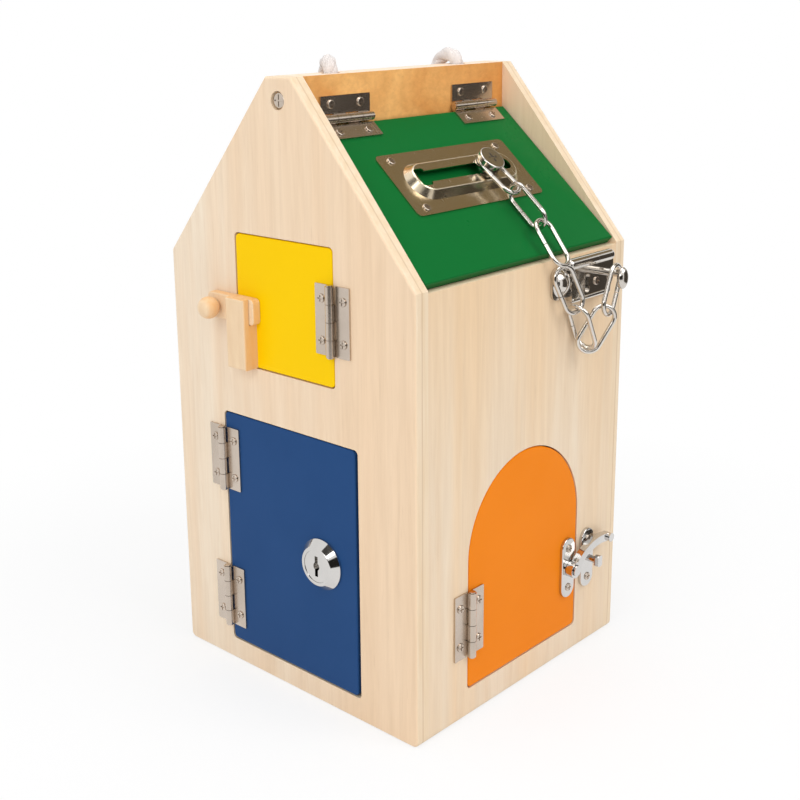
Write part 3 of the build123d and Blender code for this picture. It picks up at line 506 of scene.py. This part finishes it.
def laid_rope(lines, size=1.0):
    """Corners and faces of rope laid from strands along each line."""
    corners = []
    faces = []
    for line in lines:
        frames = carried_frames(line)
        for number in range(STRAND_COUNT):
            rings = strand_rings(line, frames, 2 * pi * number / STRAND_COUNT, size)
            base = len(corners)
            for ring in rings:
                corners.extend(ring)
            for row in range(len(rings) - 1):
                for step in range(STRAND_SIDES):
                    after = (step + 1) % STRAND_SIDES
                    low = base + row * STRAND_SIDES
                    high = low + STRAND_SIDES
                    faces.append((low + step, low + after, high + after, high + step))
            faces.append(tuple(base + step for step in reversed(range(STRAND_SIDES))))
            last = base + (len(rings) - 1) * STRAND_SIDES
            faces.append(tuple(last + step for step in range(STRAND_SIDES)))
    return corners, faces


def rope_piece(name, corners, faces, node):
    """A cotton piece that stands for one of the solids and stays on the house."""
    mesh = bpy.data.meshes.new(name)
    mesh.from_pydata(corners, [], faces)
    mesh.shade_smooth()
    piece = bpy.data.objects.new(name, mesh)
    bpy.context.collection.objects.link(piece)
    piece.data.materials.append(finishes["cotton"])
    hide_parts(node)
    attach(piece, "house")
    return piece


def knot_route(x, top):
    """Control points of a plain overhand knot drawn up under the ridge board."""
    middle = top - 2 * KNOT_RISE
    route = []
    for index in range(KNOT_POINTS):
        turn = 2 * pi * index / KNOT_POINTS
        route.append((
            x + (sin(turn) + 2 * sin(2 * turn)) * KNOT_SPREAD,
            (cos(turn) - 2 * cos(2 * turn)) * KNOT_SPREAD,
            middle - sin(3 * turn) * KNOT_RISE,
        ))
    return route


def build_rope():
    """The rope handle and the knots at its two ends."""
    route = [tuple(value * MM for value in place) for place in ROPE_ROUTE]
    line = smooth_line("rope_line", route)
    rope = rope_piece("rope_strands", *laid_rope([line]), "rope_handle")
    ends = (route[0], route[-1])
    knot_lines = [smooth_line("knot_line", knot_route(x, top), True) for x, _, top in ends]
    rope_piece("rope_end_knots", *laid_rope(knot_lines, KNOT_SHRINK), "rope_knots")


# Light, floor and camera
def build_world():
    """Even soft light, and plain white wherever the background shows."""
    world = bpy.data.worlds.new("studio")
    bpy.context.scene.world = world
    world.use_nodes = True
    tree = world.node_tree
    tree.nodes.clear()
    rays = add(tree, "ShaderNodeLightPath")
    seen = math_node(tree, "MAXIMUM", rays.outputs["Is Camera Ray"], rays.outputs["Is Transmission Ray"])
    seen = math_node(tree, "MAXIMUM", seen, rays.outputs["Is Glossy Ray"])
    soft = add(tree, "ShaderNodeBackground", Color=(0.95, 0.97, 1.0, 1.0), Strength=SOFT_LIGHT)
    white = add(tree, "ShaderNodeBackground", Color=(1.0, 1.0, 1.0, 1.0), Strength=1.0)
    mix = add(tree, "ShaderNodeMixShader")
    join(tree, seen, mix.inputs["Fac"])
    join(tree, soft.outputs[0], mix.inputs[1])
    join(tree, white.outputs[0], mix.inputs[2])
    output = add(tree, "ShaderNodeOutputWorld")
    join(tree, mix.outputs[0], output.inputs["Surface"])


def build_floor():
    """A plain pale floor that fades into the white background away from the house."""
    bpy.ops.object.select_all(action="DESELECT")
    bpy.ops.mesh.primitive_plane_add(size=FLOOR_SIZE, location=(0.0, 0.0, 0.0))
    floor = bpy.context.object
    floor.name = "floor"
    material, tree = tree_of("white_floor")
    output = add(tree, "ShaderNodeOutputMaterial")
    diffuse = add(tree, "ShaderNodeBsdfDiffuse", Color=(0.9, 0.9, 0.9, 1.0))
    glow = add(tree, "ShaderNodeEmission", Color=(1.0, 1.0, 1.0, 1.0), Strength=1.0)
    place = add(tree, "ShaderNodeTexCoord")
    reach = add(tree, "ShaderNodeVectorMath", operation="LENGTH")
    join(tree, place.outputs["Object"], reach.inputs[0])
    fade = span(tree, reach.outputs["Value"], *FLOOR_FADE, *FLOOR_GLOW)
    rays = add(tree, "ShaderNodeLightPath")
    seen = math_node(tree, "MAXIMUM", rays.outputs["Is Camera Ray"], rays.outputs["Is Glossy Ray"])
    mix = add(tree, "ShaderNodeMixShader")
    join(tree, math_node(tree, "MULTIPLY", seen, fade), mix.inputs["Fac"])
    join(tree, diffuse.outputs[0], mix.inputs[1])
    join(tree, glow.outputs[0], mix.inputs[2])
    join(tree, mix.outputs[0], output.inputs["Surface"])
    floor.data.materials.append(material)


def dark_card(name, place, aim, size, tone):
    """A dark studio card that only shows in reflections."""
    bpy.ops.object.select_all(action="DESELECT")
    turn = (Vector(aim) - Vector(place)).to_track_quat("Z", "Y").to_euler()
    bpy.ops.mesh.primitive_plane_add(size=1.0, location=place, rotation=turn)
    card = bpy.context.object
    card.name = name
    card.scale = (*size, 1.0)
    material, tree = tree_of(name)
    output = add(tree, "ShaderNodeOutputMaterial")
    shade = add(tree, "ShaderNodeEmission", Color=(*tone, 1.0), Strength=1.0)
    join(tree, shade.outputs[0], output.inputs["Surface"])
    card.data.materials.append(material)
    card.visible_camera = False
    card.visible_diffuse = False
    card.visible_transmission = False
    card.visible_shadow = False


def area_light(name, place, power):
    """A large soft lamp turned towards the house."""
    lamp = bpy.data.lights.new(name, "AREA")
    lamp.size = LAMP_SIZE
    lamp.energy = power
    holder = bpy.data.objects.new(name, lamp)
    holder.location = place
    holder.rotation_euler = (Vector(HOUSE_MIDDLE) - Vector(place)).to_track_quat("-Z", "Y").to_euler()
    bpy.context.collection.objects.link(holder)


def build_camera():
    """The camera at the photograph's place and angle."""
    lens = bpy.data.cameras.new("photo_camera")
    lens.lens = CAMERA_LENS
    lens.shift_x, lens.shift_y = CAMERA_SHIFT
    holder = bpy.data.objects.new("photo_camera", lens)
    holder.location = CAMERA_PLACE
    level = Euler((pi / 2 + CAMERA_PITCH, 0.0, -CAMERA_YAW)).to_matrix()
    holder.rotation_euler = (level @ Matrix.Rotation(CAMERA_ROLL, 3, "Z")).to_euler()
    bpy.context.collection.objects.link(holder)
    bpy.context.scene.camera = holder


bpy.context.scene.view_settings.view_transform = "Standard"
build_camera()
build_rope()
dress_nodes()
build_world()
build_floor()
for name, place, power in LAMPS:
    area_light(name, place, power)
for name, place, aim, size, tone in CARDS:
    dark_card(name, place, aim, size, tone)
